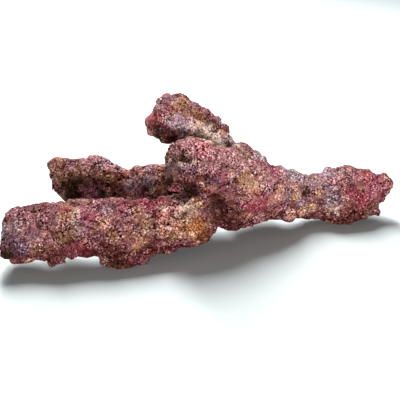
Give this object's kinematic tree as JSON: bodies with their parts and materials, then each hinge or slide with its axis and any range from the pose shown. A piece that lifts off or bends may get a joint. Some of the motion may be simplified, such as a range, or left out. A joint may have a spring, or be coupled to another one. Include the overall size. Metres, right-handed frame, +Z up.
{
  "type": "dry reef rock",
  "caption": "Branching lump of old reef rock with blunt broken branches spreading from a tapered trunk, low and wide, rests on three feet.",
  "frame": {"origin": "on the surface that the rock rests on, under the middle of its outline", "axes": "+X along the rock towards the trunk's tip, +Y towards the rear branch, +Z up"},
  "size_m": [0.3562, 0.1668, 0.1347],
  "materials": {
    "reef_stone": "dry, dull and porous, a crust of sandy grains in dusty pink, magenta, lavender, ochre and cream"
  },
  "bodies": {
    "root": {"trunk": "reef_stone", "front_branch": "reef_stone", "raised_branch": "reef_stone", "upper_branch": "reef_stone", "rear_branch": "reef_stone"}
  },
  "joints": []
}
